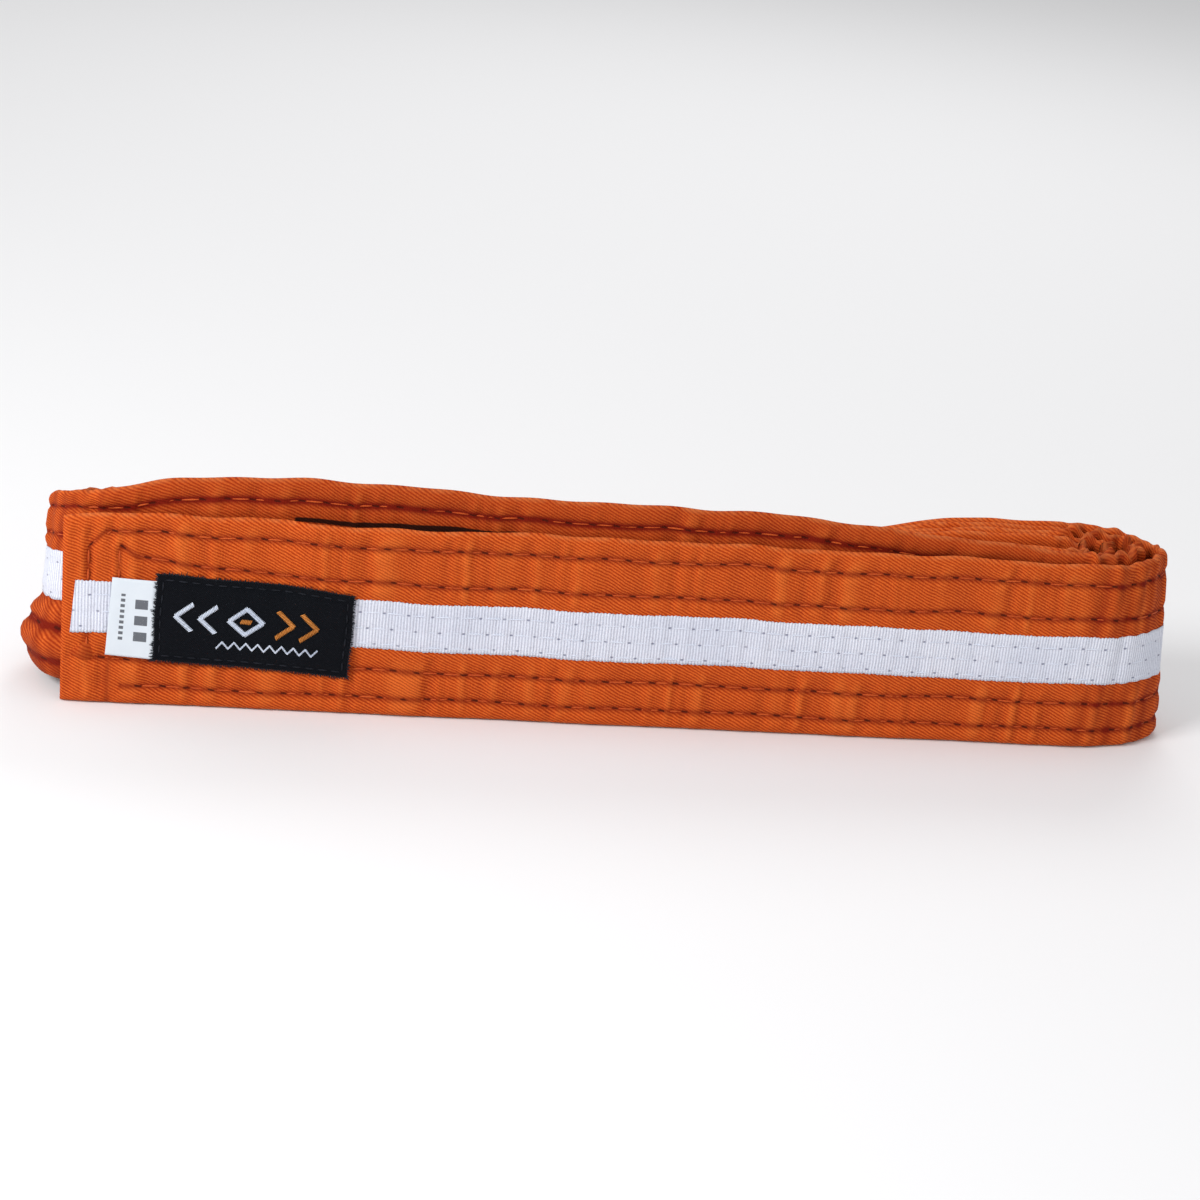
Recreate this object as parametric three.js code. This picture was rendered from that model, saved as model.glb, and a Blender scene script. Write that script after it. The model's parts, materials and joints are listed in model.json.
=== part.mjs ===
// A martial arts belt, folded into a flat roll that stands on one long edge.
//
// The belt is a sleeve of cotton drill around three plies of interlining, with
// a woven ribbon down the middle of each face and seven rows of lockstitch
// through the whole thickness. It runs to and fro in a flat spiral. The first
// run, at the front, carries the label and opens outwards as one stiff length.
//
// Millimetres, +Z up. +X is along the roll, towards the first fold, and -Y is
// the front. The roll stands on Z = 0.

import * as THREE from 'three';

// ---------------------------------------------------------------- dimensions

// The roll
const beltWidth = 40;
const rollLength = 230;
const runs = 9;
const layerGap = 0.3;
const coreFoldSpacing = 4;
const turnStretch = 1.1;
const nestStep = 6.2;
const innerEndShort = 30;

// The first run, which opens
const loopReach = 5;
const hingeLead = 2;
const hingeClearance = 0.3;

// One run behind the front one, counting from 0, has slipped up: how high it
// stands as it leaves the loop, at its highest and at the next fold
const liftedRun = 2;
const liftAtLoop = 3;
const liftPeak = 8;
const liftPeakFromLoop = 60;
const liftAtFold = 5.4;

// The layers of the belt, from the inside out
const corePlies = 3;
const plyThickness = 0.3;
const coverWall = 0.35;
const plyGap = 0.05;
const ribbonThickness = 0.15;
const ribbonWidth = 10;
const ribbonBelowMiddle = 0.6;
const ribbonInset = 2;
const sewnGap = 0.05;

// Stitch rows: the drill rows are measured from the nearer edge of the belt,
// the ribbon rows from the middle of the ribbon
const threadThickness = 0.12;
const threadWidth = 0.6;
const topRowInset = 4.3;
const upperRowInset = 11.7;
const lowerRowInset = 9.7;
const bottomRowInset = 3.9;
const ribbonRowsAboveMiddle = [2.5, -0.9, -4.2];

// Stitching that closes the label end
const outerSeamFromEnd = 4.6;
const innerSeamFromEnd = 10.5;
const seamRowClearance = 0.3;

// Label and size tag
const labelLength = 38;
const labelHeight = 17.5;
const labelThickness = 0.5;
const labelFromEnd = 17.7;
const labelAboveRibbon = 1.6;
const labelSeamInset = 1;
const labelSeamWidth = 0.6;
const tagLength = 9;
const tagHeight = 16.5;
const tagThickness = 0.2;
const tagClearance = 0.3;

// ------------------------------------------------------------ worked-out sizes

const clothThickness = 2 * coverWall + corePlies * plyThickness + (corePlies + 1) * plyGap;
const clothHalf = clothThickness / 2;
const ribbonInner = clothHalf + sewnGap;
const ribbonOuter = ribbonInner + ribbonThickness;
const drillThreadInner = clothHalf + sewnGap;
const ribbonThreadInner = ribbonOuter + sewnGap;
const strapHalf = ribbonThreadInner + threadThickness;
const layerPitch = 2 * strapHalf + layerGap;
const ribbonMiddle = beltWidth / 2 - ribbonBelowMiddle;
const ribbonLow = ribbonMiddle - ribbonWidth / 2;
const ribbonHigh = ribbonMiddle + ribbonWidth / 2;
const labelInner = strapHalf + sewnGap;
const labelOuter = labelInner + labelThickness + sewnGap + threadThickness;
const labelHigh = ribbonHigh + labelAboveRibbon;
const labelLow = labelHigh - labelHeight;

// ------------------------------------------------------------------- materials

const drill = { color: 0xc85a24, roughness: 0.9, metalness: 0 };
const interlining = { color: 0xe9e2d2, roughness: 0.95, metalness: 0 };
const ribbonWeave = { color: 0xe6e8f0, roughness: 0.7, metalness: 0 };
const orangeThread = { color: 0xa8431a, roughness: 0.6, metalness: 0 };
const whiteThread = { color: 0xd9dce6, roughness: 0.6, metalness: 0 };
const labelWeave = { color: 0x15181f, roughness: 0.85, metalness: 0 };
const blackThread = { color: 0x07090d, roughness: 0.7, metalness: 0 };
const satin = { color: 0xe2e7ec, roughness: 0.45, metalness: 0 };

// ---------------------------------------------------------- route of the belt

// Runs are counted from the label end. Odd runs lie in front of the middle of
// the roll and even runs behind it, so they are placed from the front and from
// the back towards the middle.
function runDepths() {
  const depth = [];
  const total = (runs - 2) * layerPitch + coreFoldSpacing;
  for (let run = 0; run < runs; run += 1) {
    const fromOutside = Math.floor(run / 2) * layerPitch;
    depth.push(run % 2 === 0 ? -total / 2 + fromOutside : total / 2 - fromOutside);
  }
  return depth;
}

// Half an ellipse from one run to the next, bulging along X by its reach.
function addTurn(points, startX, startY, endY, side, endLift) {
  const halfSpan = (endY - startY) / 2;
  const reach = turnReach(startY, endY);
  const steps = 4 + Math.floor(Math.abs(halfSpan) / 4);
  const startLift = points[points.length - 1].lift;
  for (let i = 1; i <= steps; i += 1) {
    const angle = (Math.PI * i) / steps;
    const along = (1 - Math.cos(angle)) / 2;
    points.push({
      x: startX + side * reach * Math.sin(angle),
      y: startY + halfSpan * (1 - Math.cos(angle)),
      lift: startLift + (endLift - startLift) * along,
    });
  }
}

function turnReach(startY, endY) {
  return (Math.abs(endY - startY) / 2) * turnStretch;
}

// The points of the belt's centre line, in order from the label end.
function centreLine() {
  const depth = runDepths();
  const points = [{ x: -rollLength / 2 + loopReach, y: depth[0], lift: 0 }];
  for (let run = 0; run < runs - 1; run += 1) {
    const side = run % 2 === 0 ? 1 : -1;
    const nest = Math.floor(run / 2) * nestStep;
    const reach = turnReach(depth[run], depth[run + 1]);
    const turnX = side * (rollLength / 2 - strapHalf - nest - reach);
    const nextLift = run + 1 === liftedRun ? liftAtLoop : 0;
    addRun(points, turnX, depth[run], run);
    addTurn(points, turnX, depth[run], depth[run + 1], side, nextLift);
  }
  const lastX = rollLength / 2 - strapHalf - (runs / 2) * nestStep - innerEndShort;
  addRun(points, lastX, depth[runs - 1], runs - 1);
  return points;
}

// A straight run. The lifted one climbs to its peak, then slopes to the fold.
function addRun(points, endX, depth, run) {
  if (run !== liftedRun) {
    points.push({ x: endX, y: depth, lift: 0 });
    return;
  }
  const start = points[points.length - 1];
  points.push({ x: start.x + liftPeakFromLoop, y: depth, lift: liftPeak });
  points.push({ x: endX, y: depth, lift: liftAtFold });
}

// Distances along the route, and the outward normal of each step.
function measure(points) {
  let distance = 0;
  points.forEach((point, i) => {
    if (i > 0) {
      const before = points[i - 1];
      const length = Math.hypot(point.x - before.x, point.y - before.y);
      distance += length;
      point.normal = { x: (point.y - before.y) / length, y: -(point.x - before.x) / length };
    }
    point.distance = distance;
  });
  points[0].normal = points[1].normal;
  return points;
}

const route = measure(centreLine());
const routeLength = route[route.length - 1].distance;
const firstTurn = route[1];
const hingeDistance = firstTurn.distance - hingeLead;
const frontY = firstTurn.y;

// A cross-section frame at any distance along the route.
function stationAt(distance) {
  const next = Math.max(1, route.findIndex((point) => point.distance >= distance));
  const a = route[next - 1];
  const b = route[next];
  const along = (distance - a.distance) / (b.distance - a.distance);
  return {
    x: a.x + (b.x - a.x) * along,
    y: a.y + (b.y - a.y) * along,
    lift: a.lift + (b.lift - a.lift) * along,
    normal: b.normal,
  };
}

// The frames from one distance to another, mitred at each bend.
function stretch(from, to) {
  const stations = [stationAt(from)];
  route.forEach((point, i) => {
    if (point.distance > from && point.distance < to) {
      const after = route[i + 1].normal;
      const sum = { x: point.normal.x + after.x, y: point.normal.y + after.y };
      const scale = 1 + point.normal.x * after.x + point.normal.y * after.y;
      stations.push({
        x: point.x,
        y: point.y,
        lift: point.lift,
        normal: { x: sum.x / scale, y: sum.y / scale },
      });
    }
  });
  stations.push(stationAt(to));
  return stations;
}

// --------------------------------------------------------------- solid makers

// One ring of corners: each is an offset outwards from the centre line and a
// height above the belt's lower edge.
function ring(station, corners) {
  return corners.map(([offset, height]) => [
    station.x + station.normal.x * offset,
    station.y + station.normal.y * offset,
    station.lift + height,
  ]);
}

function boxCorners(inner, outer, low, high) {
  return [[outer, low], [inner, low], [inner, high], [outer, high]];
}

function geometryFrom(vertices, triangles) {
  const geometry = new THREE.BufferGeometry();
  geometry.setAttribute('position', new THREE.Float32BufferAttribute(vertices.flat(), 3));
  geometry.setIndex(triangles.flat());
  geometry.computeVertexNormals();
  return geometry;
}

// Side walls between rings that hold the same number of corners.
function sideWalls(triangles, first, rings, count, flip) {
  for (let i = 0; i < rings - 1; i += 1) {
    for (let k = 0; k < count; k += 1) {
      const a = first + i * count + k;
      const b = first + i * count + ((k + 1) % count);
      const c = b + count;
      const d = a + count;
      triangles.push(flip ? [a, c, b] : [a, b, c]);
      triangles.push(flip ? [a, d, c] : [a, c, d]);
    }
  }
}

function endCap(triangles, first, count, flip) {
  for (let k = 1; k < count - 1; k += 1) {
    triangles.push(flip ? [first, first + k, first + k + 1] : [first, first + k + 1, first + k]);
  }
}

// A solid strip of any section, swept along the route.
function strip(from, to, corners) {
  const stations = stretch(from, to);
  const vertices = stations.flatMap((station) => ring(station, corners));
  const triangles = [];
  const count = corners.length;
  sideWalls(triangles, 0, stations.length, count, false);
  endCap(triangles, 0, count, false);
  endCap(triangles, vertices.length - count, count, true);
  return geometryFrom(vertices, triangles);
}

// A sleeve with a wall all round it, shut at one end and open at the other.
function sleeve(shutAt, openAt) {
  const forwards = openAt > shutAt;
  const step = forwards ? coverWall : -coverWall;
  const outerCorners = boxCorners(-clothHalf, clothHalf, 0, beltWidth);
  const innerHalf = clothHalf - coverWall;
  const innerCorners = boxCorners(-innerHalf, innerHalf, coverWall, beltWidth - coverWall);
  const count = outerCorners.length;
  const outerRings = orderedStretch(shutAt, openAt);
  const innerRings = orderedStretch(shutAt + step, openAt);
  const vertices = [
    ...outerRings.flatMap((station) => ring(station, outerCorners)),
    ...innerRings.flatMap((station) => ring(station, innerCorners)),
  ];
  const innerFirst = outerRings.length * count;
  const outerLast = innerFirst - count;
  const innerLast = vertices.length - count;
  const triangles = [];
  sideWalls(triangles, 0, outerRings.length, count, !forwards);
  endCap(triangles, 0, count, !forwards);
  sideWalls(triangles, innerFirst, innerRings.length, count, forwards);
  endCap(triangles, innerFirst, count, forwards);
  for (let k = 0; k < count; k += 1) {
    const next = (k + 1) % count;
    const a = outerLast + k;
    const b = outerLast + next;
    const c = innerLast + next;
    const d = innerLast + k;
    triangles.push(forwards ? [a, b, c] : [a, c, b]);
    triangles.push(forwards ? [a, c, d] : [a, d, c]);
  }
  return geometryFrom(vertices, triangles);
}

function orderedStretch(from, to) {
  return from < to ? stretch(from, to) : stretch(to, from).reverse();
}

// A row of thread: three-sided, flat against the cloth and proud in the middle.
// face is 1 on the outward face of the belt and -1 on the other.
function threadRow(from, to, height, base, face) {
  const low = height - threadWidth / 2;
  const high = height + threadWidth / 2;
  const peak = base + threadThickness;
  const corners = face > 0
    ? [[base, high], [peak, height], [base, low]]
    : [[-base, low], [-peak, height], [-base, high]];
  return strip(from, to, corners);
}

// A flat box that stands against the front of the first run.
function frontPanel(fromEnd, length, low, height, inner, thickness) {
  const geometry = new THREE.BoxGeometry(length, thickness, height);
  const x = route[0].x + fromEnd + length / 2;
  return { geometry, place: [x, frontY - inner - thickness / 2, low + height / 2] };
}

// -------------------------------------------------------------------- assembly

// The label stands proud of the front, so the belt sits back by half as much:
// the origin is then in the middle of the whole depth.
const belt = new THREE.Group();
belt.position.y = (labelOuter - strapHalf) / 2;

function add(name, geometry, look, place = [0, 0, 0]) {
  const mesh = new THREE.Mesh(geometry, new THREE.MeshStandardMaterial(look));
  mesh.name = name;
  mesh.position.set(...place);
  belt.add(mesh);
}

// The two lengths of belt that the hinge line parts.
const endPart = { name: 'end', from: 0, to: hingeDistance - hingeClearance / 2 };
const rollPart = { name: 'roll', from: hingeDistance + hingeClearance / 2, to: routeLength };

function addCovers() {
  add('end_cover', sleeve(endPart.from, endPart.to), drill);
  add('roll_cover', sleeve(rollPart.to, rollPart.from), drill);
}

function addCorePlies(part) {
  const shutEnd = coverWall + plyGap;
  const from = part === endPart ? part.from + shutEnd : part.from;
  const to = part === rollPart ? part.to - shutEnd : part.to;
  for (let ply = 0; ply < corePlies; ply += 1) {
    const inner = -clothHalf + coverWall + plyGap + ply * (plyThickness + plyGap);
    const corners = boxCorners(inner, inner + plyThickness, shutEnd, beltWidth - shutEnd);
    add(`${part.name}_core_ply_${ply + 1}`, strip(from, to, corners), interlining);
  }
}

function addRibbons(part) {
  const from = part === endPart ? part.from + ribbonInset : part.from;
  const to = part === rollPart ? part.to - ribbonInset : part.to;
  const face = boxCorners(ribbonInner, ribbonOuter, ribbonLow, ribbonHigh);
  const back = boxCorners(-ribbonOuter, -ribbonInner, ribbonLow, ribbonHigh);
  add(`${part.name}_face_ribbon`, strip(from, to, face), ribbonWeave);
  add(`${part.name}_back_ribbon`, strip(from, to, back), ribbonWeave);
}

// The four rows in the drill, from the top down, and where each one starts.
const rowHeights = {
  top: beltWidth - topRowInset,
  upper: beltWidth - upperRowInset,
  lower: lowerRowInset,
  bottom: bottomRowInset,
};
const rowStarts = {
  top: outerSeamFromEnd,
  upper: innerSeamFromEnd,
  lower: outerSeamFromEnd,
  bottom: innerSeamFromEnd,
};

function addDrillRows(part) {
  Object.keys(rowHeights).forEach((row) => {
    const from = part === endPart ? part.from + rowStarts[row] : part.from;
    const to = part === rollPart ? part.to - rowStarts[row] : part.to;
    const height = rowHeights[row];
    add(`${part.name}_face_thread_${row}`,
      threadRow(from, to, height, drillThreadInner, 1), orangeThread);
    add(`${part.name}_back_thread_${row}`,
      threadRow(from, to, height, drillThreadInner, -1), orangeThread);
  });
}

function addRibbonRows(part) {
  const inset = 2 * ribbonInset;
  const from = part === endPart ? part.from + inset : part.from;
  const to = part === rollPart ? part.to - inset : part.to;
  ribbonRowsAboveMiddle.forEach((above, i) => {
    const height = ribbonMiddle + above;
    add(`${part.name}_face_ribbon_thread_${i + 1}`,
      threadRow(from, to, height, ribbonThreadInner, 1), whiteThread);
    add(`${part.name}_back_ribbon_thread_${i + 1}`,
      threadRow(from, to, height, ribbonThreadInner, -1), whiteThread);
  });
}

// The upright seams that close the label end, one on each face for each seam:
// the outer one joins the top row to the lower row beyond the ribbon's end, and
// the inner one comes down from the upper row to the ribbon.
function addEndSeams() {
  const rowHalf = threadWidth / 2 + seamRowClearance;
  const seams = {
    outer: { fromEnd: outerSeamFromEnd, low: ribbonHigh + rowHalf, high: rowHeights.top - rowHalf },
    inner: { fromEnd: innerSeamFromEnd, low: ribbonHigh + rowHalf, high: rowHeights.upper - rowHalf },
    lower: { fromEnd: outerSeamFromEnd, low: rowHeights.lower + rowHalf, high: ribbonLow - rowHalf },
  };
  Object.entries(seams).forEach(([name, seam]) => {
    [['face', 1], ['back', -1]].forEach(([side, face]) => {
      const inner = face > 0 ? drillThreadInner : -drillThreadInner - threadThickness;
      const corners = boxCorners(inner, inner + threadThickness, seam.low, seam.high);
      const from = seam.fromEnd - threadWidth / 2;
      add(`end_${side}_seam_${name}`, strip(from, from + threadWidth, corners), orangeThread);
    });
  });
}

function addLabel() {
  const panel = frontPanel(
    labelFromEnd, labelLength, labelLow, labelHeight, labelInner, labelThickness);
  add('woven_label', panel.geometry, labelWeave, panel.place);
  addLabelSeam();
}

// The thread that holds the label down, a frame just inside its edges.
function addLabelSeam() {
  const inset = labelSeamInset;
  const outer = frameOutline(inset);
  outer.holes.push(frameOutline(inset + labelSeamWidth));
  const geometry = new THREE.ExtrudeGeometry(outer, {
    depth: threadThickness, bevelEnabled: false,
  });
  geometry.rotateX(Math.PI / 2);
  const y = frontY - labelOuter + threadThickness;
  add('label_stitching', geometry, blackThread, [route[0].x + labelFromEnd, y, labelLow]);
}

function frameOutline(inset) {
  const outline = new THREE.Shape();
  outline.moveTo(inset, inset);
  outline.lineTo(labelLength - inset, inset);
  outline.lineTo(labelLength - inset, labelHeight - inset);
  outline.lineTo(inset, labelHeight - inset);
  outline.closePath();
  return outline;
}

// The size tag hangs from the label's near edge, so the label places it.
function addSizeTag() {
  const fromEnd = labelFromEnd - tagClearance - tagLength;
  const low = labelLow + (labelHeight - tagHeight) / 2;
  const panel = frontPanel(fromEnd, tagLength, low, tagHeight, labelInner, tagThickness);
  add('size_tag', panel.geometry, satin, panel.place);
}

addCovers();
[endPart, rollPart].forEach((part) => {
  addCorePlies(part);
  addRibbons(part);
  addDrillRows(part);
  addRibbonRows(part);
});
addEndSeams();
addLabel();
addSizeTag();

export default belt;
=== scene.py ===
# %% [markdown]
# # A folded martial arts belt
#
# The belt is one long strap: cotton drill sewn round plies of interlining, with a
# white ribbon down the middle of each face and seven rows of lockstitch. It is
# folded to and fro into a flat roll that stands on its long edge. The CAD frame
# gives every size and the two motions: the label end swings open, and the size
# tag lifts. This script dresses that frame in cloth, ribbon and thread.

# %% Load the frame
import json
import math

import bpy
import numpy as np
from mathutils import Matrix, Vector


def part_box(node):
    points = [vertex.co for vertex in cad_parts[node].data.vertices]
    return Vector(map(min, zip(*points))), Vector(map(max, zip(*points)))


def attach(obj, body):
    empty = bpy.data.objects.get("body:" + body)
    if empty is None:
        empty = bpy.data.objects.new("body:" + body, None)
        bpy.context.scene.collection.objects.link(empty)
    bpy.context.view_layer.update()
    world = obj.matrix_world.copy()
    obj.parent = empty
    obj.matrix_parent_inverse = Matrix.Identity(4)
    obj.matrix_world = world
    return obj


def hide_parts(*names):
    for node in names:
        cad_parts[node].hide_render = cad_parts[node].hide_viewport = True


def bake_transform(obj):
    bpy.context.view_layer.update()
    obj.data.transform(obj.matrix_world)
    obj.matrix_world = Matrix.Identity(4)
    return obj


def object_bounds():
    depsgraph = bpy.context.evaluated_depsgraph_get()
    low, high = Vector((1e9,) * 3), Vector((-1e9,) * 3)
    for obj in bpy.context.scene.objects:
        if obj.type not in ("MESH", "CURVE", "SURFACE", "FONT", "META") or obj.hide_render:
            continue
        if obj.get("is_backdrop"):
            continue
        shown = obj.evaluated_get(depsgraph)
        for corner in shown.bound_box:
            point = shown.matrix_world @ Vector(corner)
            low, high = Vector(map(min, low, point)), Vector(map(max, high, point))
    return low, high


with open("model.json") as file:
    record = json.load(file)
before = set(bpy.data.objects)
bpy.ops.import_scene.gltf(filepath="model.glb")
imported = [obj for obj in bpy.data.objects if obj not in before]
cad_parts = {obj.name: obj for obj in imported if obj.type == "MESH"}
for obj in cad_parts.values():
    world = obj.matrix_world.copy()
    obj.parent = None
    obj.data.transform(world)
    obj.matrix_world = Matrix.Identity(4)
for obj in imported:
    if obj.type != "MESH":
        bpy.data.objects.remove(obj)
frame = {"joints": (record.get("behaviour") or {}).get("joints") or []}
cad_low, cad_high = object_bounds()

mm = 0.001
print("CAD box in mm:", [round(v / mm, 1) for v in cad_high - cad_low])

# %% [markdown]
# ## Camera, light and floor
#
# The view comes first, because every later choice is judged through it. The
# camera stands in front of the roll, a little to the left and above, and the
# picture is turned a few degrees, as a hand-held product view is. Big soft lamps
# give the even light of a studio table.

# %% Camera
def add_object(name, data):
    """A new object, put in the scene."""
    made = bpy.data.objects.new(name, data)
    bpy.context.scene.collection.objects.link(made)
    return made


camera_place = Vector((-74, -470, 215)) * mm
camera_down = math.radians(22.1)
camera_right = math.radians(8.4)
camera_roll = math.radians(6.2)
camera_lens = 76.4

looking = Vector((
    math.sin(camera_right) * math.cos(camera_down),
    math.cos(camera_right) * math.cos(camera_down),
    -math.sin(camera_down),
))
level_right = Vector((math.cos(camera_right), -math.sin(camera_right), 0))
level_up = level_right.cross(looking)
right = level_right * math.cos(camera_roll) + level_up * math.sin(camera_roll)
up = level_up * math.cos(camera_roll) - level_right * math.sin(camera_roll)
camera = add_object("camera", bpy.data.cameras.new("camera"))
camera.data.lens = camera_lens
camera.data.sensor_width = 36
camera.data.clip_start = 0.01
turn = Matrix((right, up, -looking)).transposed()
camera.matrix_world = Matrix.Translation(camera_place) @ turn.to_4x4()
bpy.context.scene.camera = camera
print("camera", round((camera_place.length) / mm), "mm from the roll")

# %% Lamps and sky
bpy.context.scene.view_settings.view_transform = "Standard"


def soft_lamp(name, place, size, power, warmth=1.0):
    lamp = add_object(name, bpy.data.lights.new(name, "AREA"))
    lamp.data.shape = "DISK"
    lamp.data.size = size
    lamp.data.energy = power
    lamp.data.color = (1.0, warmth, warmth * warmth)
    lamp.location = place
    lamp.rotation_euler = (Vector((0, 0, 0.02)) - Vector(place)).to_track_quat("-Z", "Y").to_euler()


soft_lamp("key", (-0.52, -0.36, 0.44), 0.28, 4.0)
soft_lamp("fill", (0.6, -0.7, 0.35), 0.6, 0.8)
soft_lamp("back", (0.2, 0.7, 0.7), 0.5, 2.2)
world = bpy.data.worlds.new("studio")
bpy.context.scene.world = world
world.use_nodes = True
world.node_tree.nodes["Background"].inputs["Color"].default_value = (1, 1, 1, 1)
world.node_tree.nodes["Background"].inputs["Strength"].default_value = 0.58

# %% [markdown]
# ## Writing materials as sums
#
# A material is arithmetic on what varies over a surface. `Amount` wraps one
# socket, so an expression such as `1 - mask * 0.4` adds the Math nodes itself,
# and `Finish` holds one material and adds any other node it is asked for.


# %% Arithmetic on sockets
def new_node(tree, kind, settings, sockets):
    """A node with its settings made, and its inputs linked or filled in."""
    node = tree.nodes.new(kind)
    for name, value in settings.items():
        setattr(node, name, value)
    for name, value in sockets.items():
        feed(tree, node.inputs[name], value)
    return node


def feed(tree, socket, value):
    if isinstance(value, Amount):
        value = value.socket
    if isinstance(value, bpy.types.NodeSocket):
        tree.links.new(value, socket)
    else:
        socket.default_value = value


class Amount:
    """A number that varies over the surface of a finish."""

    def __init__(self, finish, socket):
        self.finish = finish
        self.socket = socket

    def math(self, operation, *values):
        node = self.finish.node("ShaderNodeMath", {"operation": operation}, dict(enumerate(values)))
        return Amount(self.finish, node.outputs[0])

    def __add__(self, other):
        return self.math("ADD", self, other)

    def __mul__(self, other):
        return self.math("MULTIPLY", self, other)

    def __sub__(self, other):
        return self.math("SUBTRACT", self, other)

    def __rsub__(self, other):
        return self.math("SUBTRACT", other, self)

    def __truediv__(self, other):
        return self.math("DIVIDE", self, other)

    def __pow__(self, other):
        return self.math("POWER", self, other)

    __radd__ = __add__
    __rmul__ = __mul__

    def sine(self):
        return self.math("SINE", self)

    def ribs(self, spacing):
        """A wave over this amount, with its crests at a spacing in mm."""
        return (self * (2 * math.pi / spacing)).sine()

    def size(self):
        return self.math("ABSOLUTE", self)

    def fraction(self):
        return self.math("FRACT", self)

    def between(self, low, high):
        """0 at low or less and 1 at high or more, with a soft change."""
        node = self.finish.node("ShaderNodeMapRange", {"interpolation_type": "SMOOTHSTEP"}, {
            "Value": self, "From Min": low, "From Max": high, "To Min": 0.0, "To Max": 1.0})
        return Amount(self.finish, node.outputs[0])

    def band(self, middle, width):
        """1 on a line at middle, fading to 0 at width from it."""
        return 1 - (self - middle).size().between(0.0, width)


class Finish:
    """One material, and the nodes that make it."""

    def __init__(self, name):
        self.material = bpy.data.materials.new(name)
        self.material.use_nodes = True
        self.tree = self.material.node_tree
        self.shader = self.tree.nodes["Principled BSDF"]

    def node(self, kind, settings, sockets):
        return new_node(self.tree, kind, settings, sockets)

    def stored(self, name):
        """The vector stored at each point under a name, and its three numbers."""
        vector = self.node("ShaderNodeAttribute", {"attribute_name": name}, {}).outputs["Vector"]
        split = self.node("ShaderNodeSeparateXYZ", {}, {0: vector})
        return [vector] + [Amount(self, output) for output in split.outputs]

    def noise(self, place, scale, detail):
        node = self.node("ShaderNodeTexNoise", {}, {
            "Vector": place, "Scale": scale, "Detail": detail})
        return Amount(self, node.outputs["Fac"])

    def object_place(self):
        return self.node("ShaderNodeTexCoord", {}, {}).outputs["Object"]

    def mix(self, share, first, second):
        node = self.node("ShaderNodeMix", {"data_type": "RGBA"}, {
            "Factor": share, 6: first, 7: second})
        return node.outputs[2]

    def bump(self, height, distance, strength):
        sockets = {"Height": height, "Distance": distance, "Strength": strength}
        return self.node("ShaderNodeBump", {}, sockets).outputs["Normal"]

    def surface(self, **sockets):
        for name, value in sockets.items():
            feed(self.tree, self.shader.inputs[name.replace("_", " ")], value)
        return self.material


# %% Floor
floor_mesh = bpy.data.meshes.new("floor")
floor_mesh.from_pydata([(-3, -3, 0), (3, -3, 0), (3, 3, 0), (-3, 3, 0)], [], [(0, 1, 2, 3)])
floor = add_object("floor", floor_mesh)
floor.location.z = -0.2 * mm
paper = Finish("pale_paper")
floor_mesh.materials.append(paper.surface(Base_Color=(0.86, 0.86, 0.87, 1), Roughness=0.9))
floor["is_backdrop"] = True

# %% [markdown]
# ## Where the strap goes
#
# Everything sewn to the belt follows one route: straight runs joined by half
# ellipses, worked out here again from the CAD boxes. Each spot on the belt has
# three numbers: how far along it is from the label end, how high above the lower
# edge, and how far out from the middle of the thickness. `lay` turns those into a
# place in the room, with the leaning, slipping and crumpling of real cloth, so
# cloth, ribbon and thread always move together.

# %% Sizes of the strap
joints = {joint["name"]: joint for joint in frame["joints"]}
end_low, end_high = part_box("end_cover")
roll_low, roll_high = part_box("roll_cover")
belt_width = (end_high.z - end_low.z) / mm
cloth_half = (end_high.y - end_low.y) / 2 / mm
front_y = (end_high.y + end_low.y) / 2 / mm
back_y = roll_high.y / mm - cloth_half
label_end_x = end_low.x / mm
loop_x = roll_low.x / mm + cloth_half
fold_x = roll_high.x / mm - cloth_half
hinge_x = joints["end_opens"]["pos_m"][0] / mm
strap_half = front_y - joints["end_opens"]["pos_m"][1] / mm
runs = 9
core_fold_spacing = 4.0
layer_pitch = (back_y - front_y - core_fold_spacing) / (runs - 2)
left_stretch, right_stretch = 1.1, 1.75
nest_step = 6.2
inner_end_short = 30.0
fine_step = 0.25
print("strap", round(belt_width, 1), "mm wide, layers", round(layer_pitch, 2), "mm apart")


# %% The middle line of every run and turn
def run_depths():
    depths = []
    for run in range(runs):
        inwards = run // 2 * layer_pitch
        depths.append(front_y + inwards if run % 2 == 0 else back_y - inwards)
    return depths


def middle_line():
    """Points of the middle line, and the stage of each: run 2 is stage 2, the turn after it 2.5."""
    depths = run_depths()
    points, stages = [(label_end_x, depths[0])], [0.0]
    for run in range(runs - 1):
        side, nest = (1, run // 2 * nest_step) if run % 2 == 0 else (-1, run // 2 * nest_step)
        half = (depths[run + 1] - depths[run]) / 2
        reach = abs(half) * (right_stretch if side > 0 else left_stretch)
        turn_x = (fold_x - nest - reach) if side > 0 else (loop_x + nest + reach)
        points.append((turn_x, depths[run]))
        stages.append(float(run))
        for angle in np.linspace(0, math.pi, 60)[1:]:
            bulge, across = side * reach * math.sin(angle), half * (1 - math.cos(angle))
            points.append((turn_x + bulge, depths[run] + across))
            stages.append(run + 0.5)
    points.append((fold_x - runs / 2 * nest_step - inner_end_short, depths[-1]))
    stages.append(float(runs - 1))
    return np.array(points), np.array(stages)


corners, corner_stages = middle_line()
corner_along = np.concatenate([[0], np.cumsum(np.linalg.norm(np.diff(corners, axis=0), axis=1))])
belt_length = corner_along[-1]
along_grid = np.arange(0, belt_length + fine_step, fine_step).clip(0, belt_length)
line_x = np.interp(along_grid, corner_along, corners[:, 0])
line_y = np.interp(along_grid, corner_along, corners[:, 1])
print("belt length", round(belt_length), "mm")


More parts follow.
